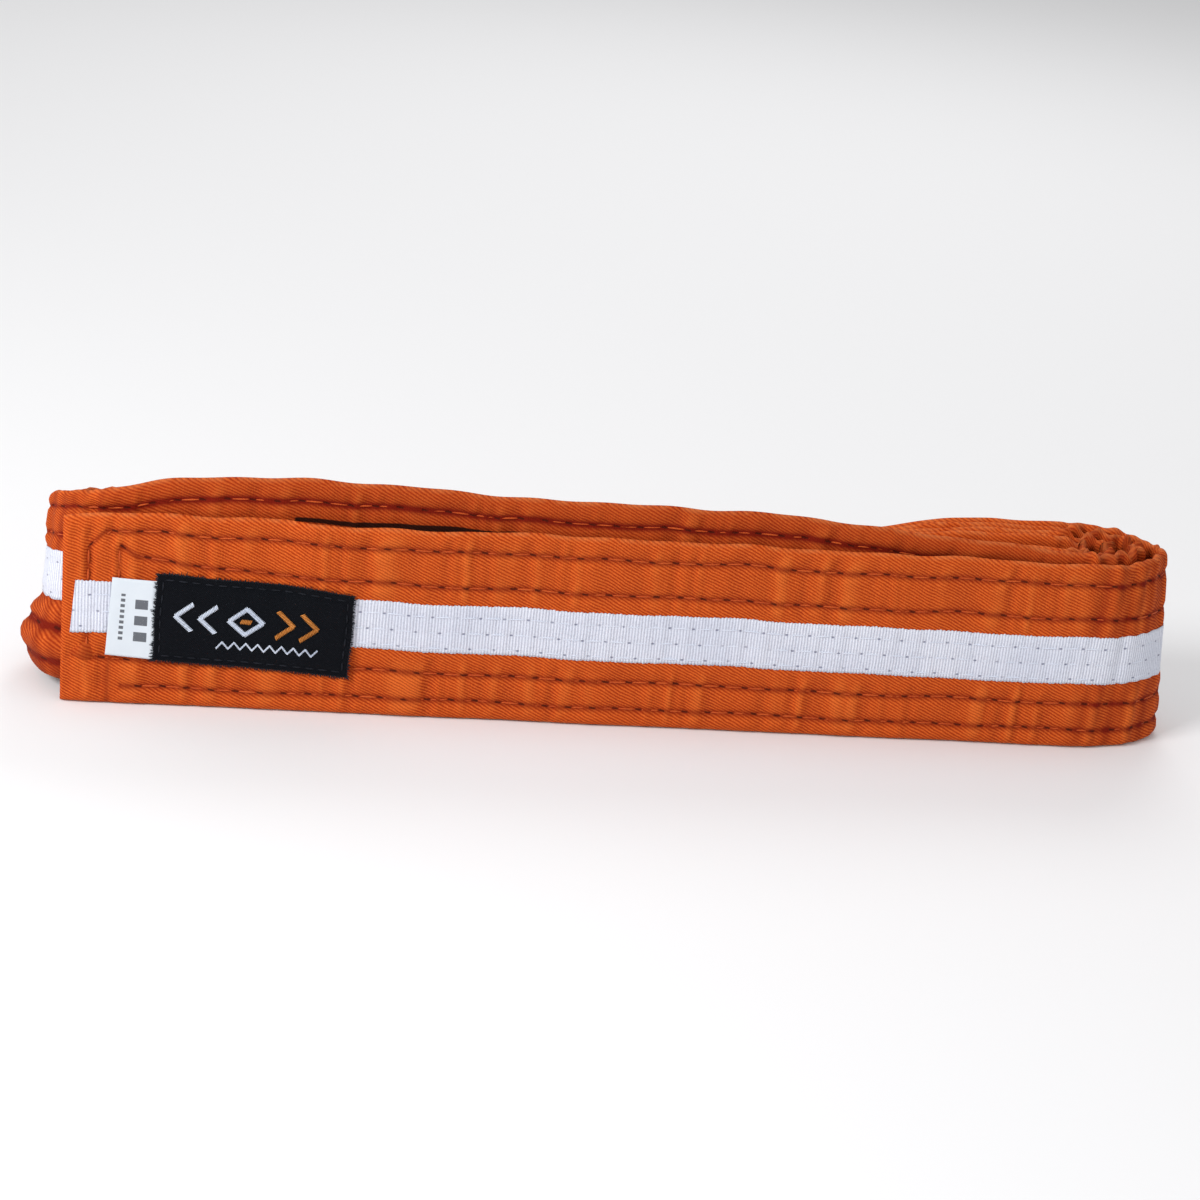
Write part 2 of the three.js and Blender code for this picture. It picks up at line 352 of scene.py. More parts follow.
# %% [markdown]
# ### Slips, leans and crumples
#
# A belt is never rolled truly. The second layer has slipped up by 8 mm, the
# outer loop at the left bulges near its foot, the front run leans away from the
# layer behind it, and every turn crumples a little. Sums of sines with fixed
# random phases give the small waves, so the result never changes.

# %% Small waves
def waves(along, seed, lengths, across=0.0, tilt=0.35):
    """A smooth random wave from about -1 to 1, with crests roughly every few of the lengths."""
    dice = np.random.default_rng(seed)
    total = 0.0
    for length in lengths:
        phase, slant = dice.uniform(0, 2 * math.pi), dice.uniform(-tilt, tilt)
        total = total + np.sin(2 * math.pi * along / length + phase + slant * across)
    return total / math.sqrt(len(lengths))


def smooth(values, width):
    """Values with steps rounded off over a width in mm."""
    count = max(3, int(width / fine_step))
    window = np.hanning(count + 2)[1:-1]
    padded = np.pad(values, count // 2 + 1, mode="edge")
    return np.convolve(padded, window / window.sum(), mode="same")[count // 2 + 1:][:len(values)]


# %% Where each stage starts, and how much of a turn each place is
def stage_start(stage):
    """Distance along the belt at which a run or a turn begins."""
    first = int(np.argmax(corner_stages == stage))
    return corner_along[first - 1] if first > 0 else 0.0


def stage_end(stage):
    last = len(corner_stages) - 1 - int(np.argmax(corner_stages[::-1] == stage))
    return corner_along[last]


def on_stage(stage, blur=4.0):
    """1 on one run or turn and 0 elsewhere, with soft ends."""
    inside = (along_grid >= stage_start(stage)) & (along_grid <= stage_end(stage))
    return smooth(inside.astype(float), blur)


def hump(stage):
    """0 at both ends of a turn and 1 at its outermost place."""
    start, end = stage_start(stage), stage_end(stage)
    return np.sin(math.pi * np.clip((along_grid - start) / (end - start), 0, 1)) ** 2


turning = sum(on_stage(run + 0.5) for run in range(runs - 1))
outer_loop = on_stage(1.5, 10.0)
right_humps = hump(0.5) + 0.8 * hump(2.5) + 0.6 * hump(4.5) + 0.4 * hump(6.5)
nested_turns = sum(on_stage(stage) for stage in (2.5, 4.5, 6.5))
crumple_line = 0.15 * turning - 0.09 * outer_loop + 0.45 * nested_turns
print("first fold from", round(stage_start(0.5)), "to", round(stage_end(0.5)), "mm along")

# %% How high the strap stands
second_start, second_end = stage_start(2.0), stage_end(2.0)
lift_steps = (10, 22, 36, 52, 85, 126, 142, 162)
lift_places = [stage_start(1.5), stage_end(1.5)] + [second_start + step for step in lift_steps]
lift_places = lift_places + [second_end, stage_end(2.5)]
lift_heights = [0.0, 3.4, 5.6, 6.9, 7.7, 7.2, 6.1, 6.1, 5.0, 3.4, 1.2, 0.0]
lift_line = smooth(np.interp(along_grid, lift_places, lift_heights), 12.0)

# %% How far the layers behind have sunk
second_y = front_y + layer_pitch
lifted = (along_grid >= second_start) & (along_grid <= second_end)
lift_there = np.interp(line_x, line_x[lifted], lift_line[lifted])
sight_slope = 0.375
room = lift_there - sight_slope * (line_y - second_y) - 0.5
behind = (along_grid > stage_end(0.5)) & ~lifted
right_share = np.clip((line_x - 50) / 18, 0, 1)
sunk_line = smooth(np.clip(lift_line - room, 0, 7.5) * behind * (1 - right_share), 9.0)
print("layers behind have sunk by up to", round(sunk_line.max(), 1), "mm")
normal_x = np.gradient(line_y, along_grid[1] - along_grid[0])
normal_y = -np.gradient(line_x, along_grid[1] - along_grid[0])
normal_size = np.hypot(normal_x, normal_y)
normal_x, normal_y = smooth(normal_x / normal_size, 1.5), smooth(normal_y / normal_size, 1.5)


# %% Laying a place on the belt into the room
def at(line, along):
    return np.interp(along, along_grid, line)


loop_bulge, loop_lean, loop_tuck, loop_slip = 3.6, 2.0, 1.5, 2.6
loop_creases = (14.5, 9.8)
right_lean, right_flare = 4.0, 0.7
gap_lean, gap_from, gap_to = 2.2, 42.0, 98.0


def crease(along, height, width=0.9):
    """1 in the two creases across the outer loop."""
    bend = 0.8 * waves(along, 24, (19.0, 31.0))
    lines = sum(np.exp(-((height - level - bend) / width) ** 2) for level in loop_creases)
    return at(outer_loop, along) * lines


def crumple_waves(along, height):
    """The small folds of a tight turn."""
    return waves(along, 3, (3.7, 5.3, 8.9), height, 0.25)


def shape_out(along, height):
    """How far the cloth stands out of the true route, in mm."""
    share = height / belt_width
    foot = np.exp(-((height - 7.0) / 6.0) ** 2)
    out = at(outer_loop, along) * (loop_bulge * foot + loop_lean * (1 - share) - loop_tuck)
    out = out - 0.7 * crease(along, height, 1.7)
    lean = right_flare * (1 - share) ** 1.5 - right_lean * share ** 1.4
    out = out + at(right_humps, along) * lean
    in_gap = np.clip((along - gap_from) / 5, 0, 1) * np.clip((gap_to - along) / 45, 0, 1)
    out = out + gap_lean * in_gap * share ** 2
    crumple = crumple_waves(along, height) * at(crumple_line, along) * (0.4 + 0.9 * share)
    return out + crumple + 0.1 * waves(along, 4, (31.0, 47.0))


def shape_up(along, height):
    """How far the cloth stands above its height on the flat belt."""
    share = height / belt_width
    sag = -1.5 * np.exp(-along / 10.0) * share
    ripple = 0.2 * waves(along, 5, (14.0, 23.0, 41.0))
    crest = 1.3 * at(crumple_line, along) * waves(along, 6, (4.1, 6.3)) * share ** 3
    slip = loop_slip * at(outer_loop, along) * np.sin(math.pi * share)
    loop_drop = 0.8 * at(outer_loop, along) ** 2 * share ** 3
    return sag + ripple * share + crest + slip - loop_drop - at(sunk_line, along) * share


def lay(along, height, out):
    """Metres in the room for a place on the belt."""
    along, height, out = np.broadcast_arrays(along, height, out)
    out = out + shape_out(along, height)
    x = at(line_x, along) + at(normal_x, along) * out
    y = at(line_y, along) + at(normal_y, along) * out
    z = at(lift_line, along) + height + shape_up(along, height)
    return np.stack([x, y, np.maximum(z, 0)], -1) * mm


# %% [markdown]
# ## Seams and the relief of the cloth
#
# Seven seams hold the strap together. Each pulls the cloth into a groove, most
# of all at the needle holes, and the cloth between two seams puffs out and
# puckers. The relief is a formula of the place on the belt, used both to shape
# the cover and to seat the thread in its groove.

# %% The rows
stitch = 4.7
rows = {"top": belt_width - 4.3, "upper": belt_width - 11.7, "lower": 9.7, "bottom": 3.9}
row_starts = {"top": 5.2, "upper": 11.0, "lower": 5.2, "bottom": 11.5}
row_phases = {"top": 0.3, "upper": 1.9, "lower": 3.1, "bottom": 0.9}
ribbon_width = 10.0
ribbon_middle = belt_width / 2 - 0.6
ribbon_rows = {"1": 2.5, "2": -0.9, "3": -4.2}
ribbon_row_phases = {"1": 0.6, "2": 2.2, "3": 3.7}


def row_height(row, along):
    """Height of a seam: near the label end the two top rows climb and turn the corner."""
    height = rows[row]
    if row == "top":
        height = height + 0.9 * np.exp(-along / 40) - np.clip(8.0 - along, 0, 4)
    if row == "upper":
        height = height + 3.6 * np.exp(-np.clip(along - 12, 0, None) / 18)
        height = height + 1.6 * np.clip((14 - along) / 3, 0, 1)
    return height + 0.16 * waves(along, 20 + len(row), (29.0, 61.0))


def ribbon_height(along, above):
    """Height of a line on the ribbon, above its middle: the raw end drifts up and spreads."""
    spread = 1 + 0.12 * np.exp(-along / 9.0)
    drift = 1.7 * np.exp(-along / 34.0)
    return ribbon_middle + drift + above * spread + 0.12 * waves(along, 9, (37.0, 83.0))


# %% Grooves, puffs and puckers
groove_depth, groove_width = 0.5, 0.9
puff_height = 0.26
upright_seams = {"outer": (4.9, 9.7, 33.0), "inner": (10.7, 24.5, 33.5), "fold": (9.0, 0.0, 9.2)}


def sewn(along, row):
    """1 where the row is sewn, and 0 before its first stitch."""
    return np.clip((along - row_starts[row] + 0.6) / 0.6, 0, 1)


def groove(along, height, row):
    """1 in the groove of a seam, deepest at the needle holes."""
    away = (height - row_height(row, along)) / groove_width
    near_hole = 0.5 + 0.5 * np.cos(2 * math.pi * (along - row_phases[row]) / stitch)
    return np.exp(-away ** 2) * (0.72 + 0.28 * near_hole) * sewn(along, row)


def upright_groove(along, height):
    """1 in the grooves that run across the belt near its label end."""
    total = 0.0
    for place, low, high in upright_seams.values():
        inside = np.clip((height - low) / 0.8 + 0.5, 0, 1)
        inside = inside * np.clip((high - height) / 0.8 + 0.5, 0, 1)
        total = total + np.exp(-((along - place) / 0.6) ** 2) * inside
    return np.clip(total, 0, 1)


def puff(along, height):
    """How far the cloth puffs out between the seams."""
    lines = [0.0, rows["bottom"], rows["lower"], ribbon_middle]
    lines = lines + [rows["upper"], rows["top"], belt_width]
    total = 0.0
    for low, high in zip(lines[:-1], lines[1:]):
        share = np.clip((height - low) / (high - low), 0, 1)
        total = total + np.sin(math.pi * share) ** 0.8
    return total * (0.8 + 0.35 * waves(along, 11, (6.7, 9.9, 17.0), height, 0.12))


def pucker(along, height):
    """Small folds square to the seams, strongest beside the upper rows."""
    near_rows = sum(np.exp(-((height - level) / 3.4) ** 2) for level in rows.values())
    drift = 2.4 * waves(along, 21, (23.0, 37.0)) + 0.5 * waves(height, 22, (9.0, 14.0))
    fine = waves(along + drift, 12, (3.4, 4.7, 5.6), height, 0.1)
    broad = waves(along + drift, 13, (6.9, 8.8, 12.7), height, 0.06)
    strong = 0.6 + 0.4 * np.clip(waves(along, 23, (41.0, 67.0)) + 0.6, 0, 1)
    return near_rows * strong * (0.17 * fine + 0.28 * np.clip(broad, -0.8, 1.4))


def relief(along, height, side):
    """Distance from the middle of the thickness to the skin of the cover, in mm."""
    edge = np.clip(np.minimum(height, belt_width - height) / 1.5, 0, 1)
    tip = np.clip((along + 0.05) / 1.4, 0, 1) * np.clip((belt_length + 0.05 - along) / 1.4, 0, 1)
    roundness = np.sqrt(1 - (1 - edge) ** 2) * np.sqrt(1 - (1 - tip) ** 2)
    pulled = sum(groove(along, height, row) for row in rows) + upright_groove(along, height)
    inner_crush = (side < 0) * at(turning, along) * waves(along, 15, (1.9, 2.7), height, 0.3)
    free = (side > 0) * np.clip(np.clip((second_start - along) / 6, 0, 1) + (height > 29), 0, 1)
    skin = cloth_half + puff_height * puff(along, height) + pucker(along, height) * (0.4 + 0.6 * free)
    skin = skin - groove_depth * np.clip(pulled, 0, 1) + 0.1 * inner_crush
    skin = np.maximum(skin - 0.4 * crease(along, height, 0.8) * (side > 0), 0.58)
    under_ribbon = np.exp(-((height - ribbon_height(along, 0)) / 6.1) ** 12)
    skin = skin * (1 - under_ribbon) + (cloth_half - 0.02) * under_ribbon
    return skin * roundness


# %% [markdown]
# ### The cover
#
# The cover is a closed sleeve, so each ring of points goes up the face and down
# the back. It is modelled straight on the route, and not as a cloth simulation,
# because a sewn strap is held flat by its seams. Long belts need many faces, so
# it is made in lengths that meet exactly, the finest where it shows most.


# %% A mesh from rings of points
def mesh_piece(name, points, faces, material, sharp_faces=0):
    mesh = bpy.data.meshes.new(name)
    mesh.from_pydata(points.reshape(-1, 3).tolist(), [], faces)
    mesh.shade_smooth()
    mesh.materials.append(material)
    if sharp_faces:
        last = range(len(mesh.polygons) - sharp_faces, len(mesh.polygons))
        rim = {key for index in last for key in mesh.polygons[index].edge_keys}
        for edge in mesh.edges:
            if edge.key in rim:
                edge.use_edge_sharp = True
    return add_object(name, mesh)


def tube_faces(rings, count):
    """Quads between closed rings, and flat caps of quads at both ends."""
    first = np.arange(rings - 1)[:, None] * count
    a = first + np.arange(count)[None, :]
    b = first + (np.arange(count)[None, :] + 1) % count
    walls = np.stack([a, a + count, b + count, b], -1).reshape(-1, 4).tolist()
    caps = []
    half = count // 2
    base = (rings - 1) * count
    for k in range(half - 1):
        across = [k, k + 1, count - 2 - k, count - 1 - k]
        caps.append(across)
        caps.append([base + index for index in reversed(across)])
    return walls, caps


def note(piece, name, x, y, z=0.0):
    """Stores three numbers at each point, for the finishes to read."""
    parts = [np.broadcast_to(part, np.shape(x)).ravel() for part in (x, y, z)]
    attribute = piece.data.attributes.new(name, "FLOAT_VECTOR", "POINT")
    attribute.data.foreach_set("vector", np.stack(parts, -1).astype(np.float32).ravel())


def round_both(face, back):
    """Values of the face and then of the back, in the order of a ring's points."""
    return np.concatenate([face, back[:, ::-1]], 1)


def shell(name, s, h, outer, inner, material):
    """A closed piece between an outer and an inner skin, over a grid of places on the belt."""
    points = round_both(lay(s, h, outer), lay(s, h, inner))
    walls, caps = tube_faces(s.shape[0], 2 * s.shape[1])
    return mesh_piece(name, points, walls + caps, material, len(caps))


def shade_place(along, height):
    """Painted shade: how much darker the cloth is painted in the hollows by the turns, at the foot and
    in the creases of the outer loop, on the second layer, in the nested inner turns and round the
    upright seams.
    """
    fold = at(turning, along) * (0.35 + 0.35 * waves(along, 16, (2.9, 4.3, 7.1), height, 0.3))
    foot = at(outer_loop, along) * np.exp(-((height - 2.5) / 3.0) ** 2) * 0.8
    foot = foot + 0.9 * crease(along, height)
    # The second layer's upper part is painted darker as shade, most in the groove of its top seam.
    second = at(on_stage(2.0), along) * np.clip((height - 24) / 6, 0, 1)
    second = second * (0.5 + 0.5 * groove(along, height, "top"))
    # Painted shade in the hollows of the nested inner turns.
    sunken = np.clip(0.4 - crumple_waves(along, height), 0, 1)
    nested = 2.2 * np.clip(at(crumple_line, along) - 0.2, 0, 1) * sunken
    return np.clip(fold + foot + second + nested + 0.95 * upright_groove(along, height), 0, 1)


def sleeve(name, start, end, step, spacing, material):
    """A length of the cover from one place along the belt to another."""
    along = np.linspace(start, end, max(2, int((end - start) / step) + 1))
    edge = 1.5 * (1 - np.cos(np.linspace(0, math.pi / 2, 5)))
    middle = np.linspace(1.5, belt_width - 1.5, int(belt_width / spacing))
    heights = np.concatenate([edge[:-1], middle, (belt_width - edge[::-1])[1:]])
    s, h = np.meshgrid(along, heights, indexing="ij")
    piece = shell(name, s, h, relief(s, h, 1) + 0.02, -relief(s, h, -1) - 0.02, material)
    note(piece, "cloth_mm", round_both(s, s), round_both(h, 2 * belt_width - h))
    away = [h - row_height(row, s) for row in rows]
    shade = [away[3], shade_place(s, h), pucker(s, h)]
    note(piece, "rows_mm", *[round_both(part, part) for part in away[:3]])
    note(piece, "shade", *[round_both(part, part) for part in shade])
    print(name, len(piece.data.polygons), "faces")
    return piece


# %% [markdown]
# ### Orange drill
#
# Drill is a twill, so its yarns make fine slanted lines. The seam valleys, creases
# and pucker hollows are painted darker as shade, with a little deeper dye in the
# hollows, the pucker crests are painted lighter as highlight, and the dye is thinner
# on edges that rub. The weave is a bump, the colour drifts in three sizes of noise,
# and each needle hole is a short dark dash of painted shade in its groove.

# %% The shadow of the slit between the first two layers
slit_x, slit_length, slit_height = -66.6, 46.0, 32.3
slit_start = second_start + float(slit_x - at(line_x, second_start))


# %% The cover's finish
def drill_finish():
    finish = Finish("orange_drill")
    place, along, across, _ = finish.stored("cloth_mm")
    _, away_top, away_upper, away_lower = finish.stored("rows_mm")
    _, away_bottom, shade, fold = finish.stored("shade")

    broad = finish.noise(place, 0.035, 3.0)
    patch = finish.noise(place, 0.28, 4.0)
    fibre = finish.noise(place, 2.3, 3.0)
    slant = along * math.sin(math.radians(27)) + across * math.cos(math.radians(27))
    twill = (slant + (patch - 0.5) * 0.7).ribs(0.58)
    yarn = (along * (2 * math.pi / 0.5) + fibre * 2.5).sine()

    # valley marks each seam's groove for painted shade, and dash marks each needle hole.
    valley, dash = 0.0, 0.0
    for row, away in zip(rows, (away_top, away_upper, away_lower, away_bottom)):
        is_sewn = along.between(row_starts[row] - 0.7, row_starts[row])
        spot = ((along - row_phases[row]) / stitch + 0.5).fraction() - 0.5
        hole = (spot.size() * stitch + (fibre - 0.5) * 0.7 + (patch - 0.5) * 0.6).between(0.4, 0.85)
        line = (away + (fibre - 0.5) * 0.3 + spot * 0.6).size()
        valley = away.band(0.0, 1.5) * is_sewn + valley
        dash = (1 - hole) * (1 - line.between(0.08, 0.32)) * is_sewn + dash
    edge = (across - belt_width).size().between(belt_width - 0.9, belt_width)
    worn = (edge + across.band(belt_width, 0.9)) * patch.between(0.35, 0.6)

    base = finish.mix(broad.between(0.3, 0.7), (0.43, 0.047, 0.0045, 1), (0.52, 0.065, 0.0070, 1))
    drift = finish.mix(patch.between(0.25, 0.75) * 0.5, base, (0.34, 0.034, 0.0040, 1))
    # Painted highlight on the pucker crests and painted shade in their hollows, with a little deeper dye
    # in the hollows.
    crest = finish.mix(fold.between(0.03, 0.34) * 0.55, drift, (0.70, 0.150, 0.024, 1))
    shaded_hollows = finish.mix((0 - fold).between(0.02, 0.24) * 0.45, crest, (0.27, 0.020, 0.0035, 1))
    lines = finish.mix((twill * 0.5 + 0.5) ** 1.5 * 0.56 + fibre.between(0.45, 0.75) * 0.34, shaded_hollows,
                       (0.76, 0.160, 0.027, 1))
    dark = finish.mix((0 - twill).between(0.0, 1.0) * 0.5, lines, (0.22, 0.016, 0.003, 1))
    # Painted shade in the seam valleys and wherever the shade attribute marks creases and hollows.
    shaded_valleys = finish.mix(valley ** 1.5 * 0.68 + shade * 0.6, dark, (0.17, 0.009, 0.0025, 1))
    # Painted shadow: a near-black band on the second layer, seen just above the front run's top edge,
    # where the slit between the first two layers shows.
    slit_share = ((along - slit_start) / slit_length).between(0.0, 1.0)
    slit_top = slit_share * 0.9 + slit_height
    in_slit = along.between(slit_start - 0.2, slit_start + 0.2) * (1 - along.between(
        slit_start + slit_length - 0.2, slit_start + slit_length + 0.2))
    slit = in_slit * (1 - across.between(slit_top - 0.15, slit_top + 0.12)) * across.between(
        slit_height - 1.1, slit_height - 0.8)
    deep = finish.mix(slit * 0.95, shaded_valleys, (0.006, 0.003, 0.003, 1))
    rubbed = finish.mix(worn * 0.3, deep, (0.74, 0.24, 0.075, 1))
    # Painted shade in the needle holes: a short dark dash at each.
    colour = finish.mix(dash * 0.86, rubbed, (0.05, 0.006, 0.003, 1))

    height = twill * 0.6 + yarn * 0.2 + fibre * 0.7 - dash * 2.0
    bump = finish.bump(height, 0.06 * mm, 0.85)
    return finish.surface(Base_Color=colour, Roughness=0.86, Normal=bump, Sheen_Weight=0.03,
                          Sheen_Tint=(1.0, 0.5, 0.2, 1), Specular_IOR_Level=0.08)


drill = drill_finish()

# %% Four lengths of cover
seam_at = float(along_grid[np.argmax((along_grid > stage_start(0.5)) & (line_y > front_y + 1.0)
                                     & (line_x < hinge_x + 5.5))])
cover_lengths = {
    "end_cloth": ("end", 0.0, seam_at, 0.5, 1.0),
    "back_cloth": ("roll", seam_at, stage_start(1.5), 0.7, 1.3),
    "second_cloth": ("roll", stage_start(1.5), stage_end(2.5), 0.55, 1.1),
    "inner_cloth": ("roll", stage_end(2.5), belt_length, 1.25, 1.6),
}
cloths = {name: sleeve(name, start, end, step, spacing, drill)
          for name, (part, start, end, step, spacing) in cover_lengths.items()}
print("the label end's cloth ends", round(seam_at, 1), "mm along")

# %% [markdown]
# ### Hanging it on the frame
#
# The label end turns about the hinge in the first fold. The hinge's ends are worked
# out here, but the cloth is not blended across it: pieces of the label end are set
# fixed in place. Everything deeper in the roll just rides it.

# %% Riding
bend_before, bend_after = 0.009, 0.0045
blend_height = 0.02
hinge_start = (hinge_x * mm - bend_before, front_y * mm, blend_height)
hinge_end = (hinge_x * mm + bend_after, front_y * mm, blend_height)


def dress(piece, part, nodes, flat=None):
    """Hangs a piece on its body, or bakes a piece of the label end in place, and hides the CAD parts it
    stands for. flat, the size it was cut from, is not used.
    """
    if part == "end":
        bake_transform(piece)
    else:
        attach(piece, part)
    if nodes:
        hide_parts(*nodes)


for name, (part, start, end, _, _) in cover_lengths.items():
    cut = (belt_width * mm, (end - start) * mm)
    dress(cloths[name], part, [part + "_cover"], cut)

# %% [markdown]
# ## Core plies
#
# Three plies of interlining lie inside the cover and give the belt its
# body. They only show if the belt is cut or the cover is lifted off, so they are
# plain flat strips on the same route.


# %% A flat strip on the route
def spots(start, end, fine, coarse):
    """Places along the belt, close together in the turns and further apart on the runs."""
    places = [start]
    while places[-1] < end - 1e-6:
        near = at(turning, np.array([places[-1], places[-1] + coarse])).max() > 0.01
        places.append(min(end, places[-1] + (fine if near else coarse)))
    return np.array(places)


def strip(name, start, end, steps, low, high, across, inner, outer, material, skew=lambda s: 0.0):
    """A closed strip: its edges, its skins and the skew of its ends are functions of the place.

    steps are the spacing in the turns and on the runs, and across is the number of points up it.
    """
    along = spots(start, end, *steps)
    share = np.linspace(0, 1, across)
    s, t = np.meshgrid(along, share, indexing="ij")
    h = low(s) * (1 - t) + high(s) * t
    s = s + skew(s) * (t - 0.5)
    piece = shell(name, s, h, outer(s, h), inner(s, h), material)
    note(piece, "cloth_mm", np.concatenate([s, s], 1), round_both(h, h), round_both(t, t))
    return piece


def interlining_finish():
    finish = Finish("interlining")
    place, along, across, _ = finish.stored("cloth_mm")
    weave = along.ribs(0.6) * across.ribs(0.6)
    fibre = finish.noise(place, 1.6, 4.0)
    colour = finish.mix(fibre, (0.62, 0.58, 0.50, 1), (0.78, 0.75, 0.68, 1))
    bump = finish.bump(weave * 0.5 + fibre, 0.05 * mm, 0.6)
    return finish.surface(Base_Color=colour, Roughness=0.92, Normal=bump)


# %% Three plies in each part of the belt
interlining = interlining_finish()
ply_thickness, ply_pitch = 0.24, 0.27
ply_inset, ply_short = 1.6, 3.0
ply_points = 29
turn_step = 0.6
plies = [("end", ply_short, seam_at, 1.5), ("roll", seam_at, belt_length - ply_short, 4.0)]
for part, start, end, run_step in plies:
    for number in (1, 2, 3):
        middle = (number - 2) * ply_pitch
        ply = strip("%s_ply_%d" % (part, number), start, end, (turn_step, run_step),
                    lambda s: ply_inset, lambda s: belt_width - ply_inset, ply_points,
                    lambda s, h: middle - ply_thickness / 2,
                    lambda s, h: middle + ply_thickness / 2, interlining)
        cut = ((belt_width - 2 * ply_inset) * mm, (end - start) * mm)
        dress(ply, part, ["%s_core_ply_%d" % (part, number)], cut)
print("6 plies")

# %% [markdown]
# ## The white ribbon
#
# The stripe is a real ribbon sewn on both faces, so it has its own thickness, ribs
# across it, and a woven edge of tiny loops. It is a thin strip set just proud of
# the cover, dented where its three seams pull it down.


# %% Ribbon finish
def ribbon_finish():
    finish = Finish("white_ribbon")
    place, along, across, _ = finish.stored("cloth_mm")
    above = finish.stored("ribbon_mm")[1]
    broad = finish.noise(place, 0.06, 3.0)
    patch = finish.noise(place, 0.5, 3.0)
    fibre = finish.noise(place, 3.0, 2.0)
    rib = (along * (2 * math.pi / 0.6) + (patch - 0.5) * 1.6).sine()
    cross = above.ribs(0.45)
    dots, valleys = 0.0, 0.0
    for row, level in ribbon_rows.items():
        spot = ((along - ribbon_row_phases[row]) / stitch + 0.5).fraction() - 0.5
        near = (spot.size() * stitch) ** 2.0 * 1.4 + (above - level) ** 2.0 * 4.0
        dots = (1 - near.between(0.03, 0.28)) + dots
        valleys = (above - level).band(0.0, 0.7) + valleys
    edge = above.size().between(ribbon_width / 2 - 0.5, ribbon_width / 2)
    base = finish.mix(broad.between(0.3, 0.7), (0.70, 0.73, 0.83, 1), (0.79, 0.81, 0.89, 1))
    ribs = (rib * 0.5 + 0.5) * 0.6 + fibre.between(0.4, 0.8) * 0.3
    ribbed = finish.mix(ribs, base, (0.38, 0.40, 0.50, 1))
    # The ribbon is greyer in its seam valleys and along its woven edges.
    greyed_rows_and_edges = finish.mix(valleys * 0.07 + edge * 0.08, ribbed, (0.42, 0.40, 0.46, 1))
    # Painted shade in the needle holes of the ribbon's seams.
    colour = finish.mix(dots * patch.between(0.3, 0.5) * 0.8, greyed_rows_and_edges, (0.13, 0.14, 0.22, 1))
    height = rib * 0.9 + cross * 0.18 + fibre * 0.4 - dots * 1.6
    bump = finish.bump(height, 0.05 * mm, 0.7)
    return finish.surface(Base_Color=colour, Roughness=0.62, Normal=bump, Sheen_Weight=0.15,
                          Sheen_Roughness=0.4, Specular_IOR_Level=0.3)


# %% Ribbons on both faces of both parts
ribbon_white = ribbon_finish()
ribbon_short, ribbon_thickness, ribbon_points = 2.1, 0.15, 17
ribbon_ends = {"end": (ribbon_short, seam_at), "roll": (seam_at, belt_length - ribbon_short)}


def ribbon_skin(along, height):
    """How far the ribbon's outer skin stands from the middle of the thickness."""
    above = height - ribbon_height(along, 0)
    dent = sum(np.exp(-((above - level) / 0.55) ** 2) for level in ribbon_rows.values())
    ripple = 0.05 * waves(along, 17, (5.1, 7.7, 12.3), height, 0.2)
    ripple = ripple + 0.03 * waves(along, 18, (2.6, 3.9))
    return cloth_half + 0.2 - 0.08 * dent + ripple


def ribbon_edge(side):
    """The woven edge, scalloped by its loops."""
    def edge(along):
        scallop = 0.2 * np.abs(np.sin(math.pi * along / 0.78)) + 0.05 * waves(along, 19, (1.9, 2.7))
        return ribbon_height(along, side * ribbon_width / 2) + side * scallop
    return edge


def ribbon_piece(part, face, start, end, step):
    side = 1 if face == "face" else -1
    skins = [lambda s, h: side * (ribbon_skin(s, h) - ribbon_thickness),
             lambda s, h: side * ribbon_skin(s, h)]
    if side < 0:
        skins.reverse()
    piece = strip("%s_%s_white_ribbon" % (part, face), start, end, (step, step),
                  ribbon_edge(-1), ribbon_edge(1), ribbon_points,
                  skins[0], skins[1], ribbon_white, lambda s: 1.2 * np.exp(-s / 6.0))
    place = np.zeros(len(piece.data.vertices) * 3, np.float32)
    piece.data.attributes["cloth_mm"].data.foreach_get("vector", place)
    along, height = place[0::3], place[1::3]
    note(piece, "ribbon_mm", (height - ribbon_height(along, 0)), 0.0)
    dress(piece, part, ["%s_%s_ribbon" % (part, face)],
          (ribbon_width * mm, (end - start) * mm))
    return piece


ribbon_steps = {("end", "face"): 0.2, ("end", "back"): 0.5, ("roll", "face"): 1.0, ("roll", "back"): 1.0}
for (part, face), step in ribbon_steps.items():
    start, end = ribbon_ends[part]
    piece = ribbon_piece(part, face, start, end, step)
    print(piece.name, len(piece.data.polygons), "faces")

# %% [markdown]
# ## Thread
#
# A lockstitch shows as a row of short threads, each diving into a needle hole at
# both ends. There are thousands, all alike, so one small node tree lays them: it
# takes loose points, each with the way its thread runs, and puts a plump capsule
# there, a little uneven as hand-fed sewing is. The same tree later makes the
# embroidery and the frayed edge of the label.


